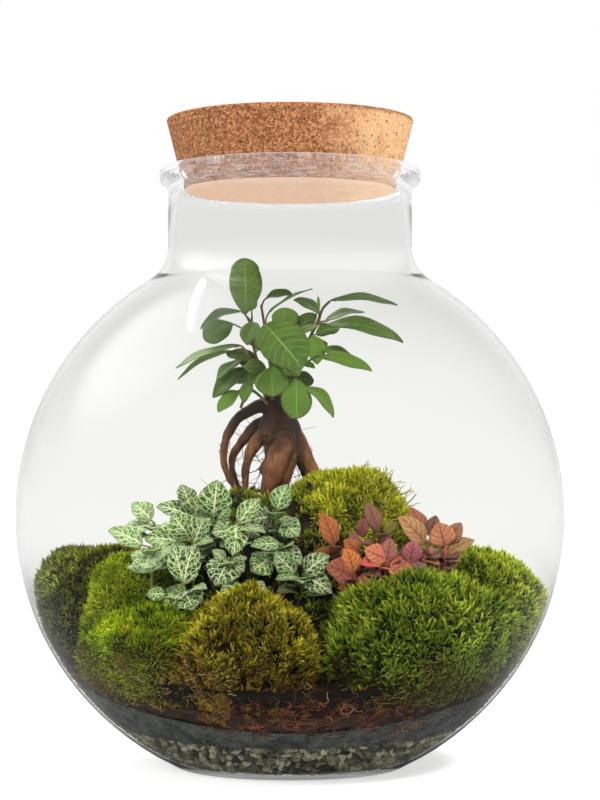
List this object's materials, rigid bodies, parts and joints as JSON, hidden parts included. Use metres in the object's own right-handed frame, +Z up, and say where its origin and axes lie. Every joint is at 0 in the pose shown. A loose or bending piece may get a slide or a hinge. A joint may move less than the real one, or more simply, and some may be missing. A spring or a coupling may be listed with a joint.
{
  "type": "glass plant terrarium",
  "caption": "Closed terrarium: a round glass jar with a tapered cork stopper, planted with a small ficus on arching roots and two nerve plants on a mossy hill over soil and gravel.",
  "frame": {"origin": "middle of the jar's flat base, on the surface it stands on", "axes": "+Z up through the cork; the front of the planting faces -Y"},
  "size_m": [0.27, 0.27, 0.32],
  "materials": {
    "clear_glass": "clear, smooth blown glass",
    "cork": "pressed cork granules, matt",
    "gravel": "loose grey-olive drainage stones",
    "dark_soil": "dark moist potting soil",
    "coconut_fibre": "loose reddish coconut fibre",
    "planting_soil": "dark brown planting soil",
    "ficus_bark": "brown root bark, slightly ridged",
    "ficus_leaf": "waxy mid-green leaf",
    "white_nerve_leaf": "green leaf with a dense net of white veins",
    "red_nerve_leaf": "coral to red-brown leaf with a net of dark veins",
    "moss": "soft cushion moss, olive to bright yellow-green"
  },
  "bodies": {
    "root": {"glass_jar": "clear_glass", "cork_stopper": "cork", "gravel_bed": "gravel", "dark_soil_layer": "dark_soil", "coconut_fibre_mat": "coconut_fibre", "soil_hill": "planting_soil", "ficus_trunk": "ficus_bark", "ficus_shoot_upper_left": "ficus_leaf", "ficus_shoot_left": "ficus_leaf", "ficus_shoot_top": "ficus_leaf", "ficus_shoot_front": "ficus_leaf", "ficus_shoot_right": "ficus_leaf", "ficus_shoot_lower_right": "ficus_leaf", "ficus_shoot_lower_left": "ficus_leaf", "ficus_shoot_lower_front": "ficus_leaf", "white_nerve_stem_01": "white_nerve_leaf", "white_nerve_stem_02": "white_nerve_leaf", "white_nerve_stem_03": "white_nerve_leaf", "white_nerve_stem_04": "white_nerve_leaf", "white_nerve_stem_05": "white_nerve_leaf", "white_nerve_stem_06": "white_nerve_leaf", "white_nerve_stem_07": "white_nerve_leaf", "white_nerve_stem_08": "white_nerve_leaf", "white_nerve_stem_09": "white_nerve_leaf", "white_nerve_stem_10": "white_nerve_leaf", "white_nerve_stem_11": "white_nerve_leaf", "white_nerve_stem_12": "white_nerve_leaf", "red_nerve_stem_01": "red_nerve_leaf", "red_nerve_stem_02": "red_nerve_leaf", "red_nerve_stem_03": "red_nerve_leaf", "red_nerve_stem_04": "red_nerve_leaf", "red_nerve_stem_05": "red_nerve_leaf", "red_nerve_stem_06": "red_nerve_leaf", "red_nerve_stem_07": "red_nerve_leaf", "red_nerve_stem_08": "red_nerve_leaf", "moss_rear_hummock": "moss", "moss_left_front": "moss", "moss_centre_front": "moss", "moss_right_front": "moss", "moss_left_bright": "moss", "moss_right_rear": "moss", "moss_left_rear": "moss", "moss_back_left": "moss", "moss_back_right": "moss"}
  },
  "joints": []
}
